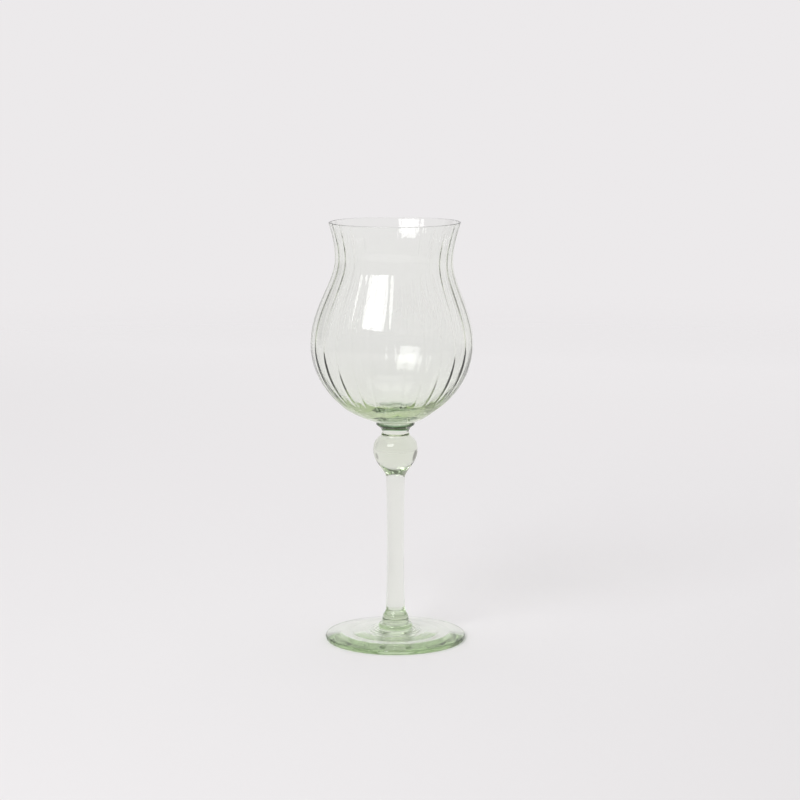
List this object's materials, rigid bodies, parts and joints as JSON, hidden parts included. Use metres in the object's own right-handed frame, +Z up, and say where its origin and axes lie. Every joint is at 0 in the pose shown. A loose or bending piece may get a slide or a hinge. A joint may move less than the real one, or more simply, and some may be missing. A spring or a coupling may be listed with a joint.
{
  "type": "wine glass",
  "caption": "Tall hand-blown wine glass with a ribbed tulip bowl, ball knop, slim rod stem and round spread foot, in pale green glass.",
  "frame": {"origin": "centre of the foot, on the surface the glass stands on", "axes": "+Z up along the stem, from the foot to the rim; the glass is round, so +X and +Y are free"},
  "size_m": [0.085, 0.0844, 0.22],
  "materials": {
    "blown_glass": "fire-polished, thin-walled, optic ribbed",
    "collar_glass": "fire-polished, solid, deeper green",
    "solid_glass": "fire-polished, solid, faint green tint",
    "bead_glass": "fire-polished, solid, mid green",
    "foot_glass": "fire-polished, tooled, faint green tint"
  },
  "bodies": {
    "root": {"bowl": "blown_glass", "upper_merese": "collar_glass", "neck": "solid_glass", "ball_knop": "solid_glass", "stem": "solid_glass", "lower_merese": "bead_glass", "foot": "foot_glass"}
  },
  "joints": []
}
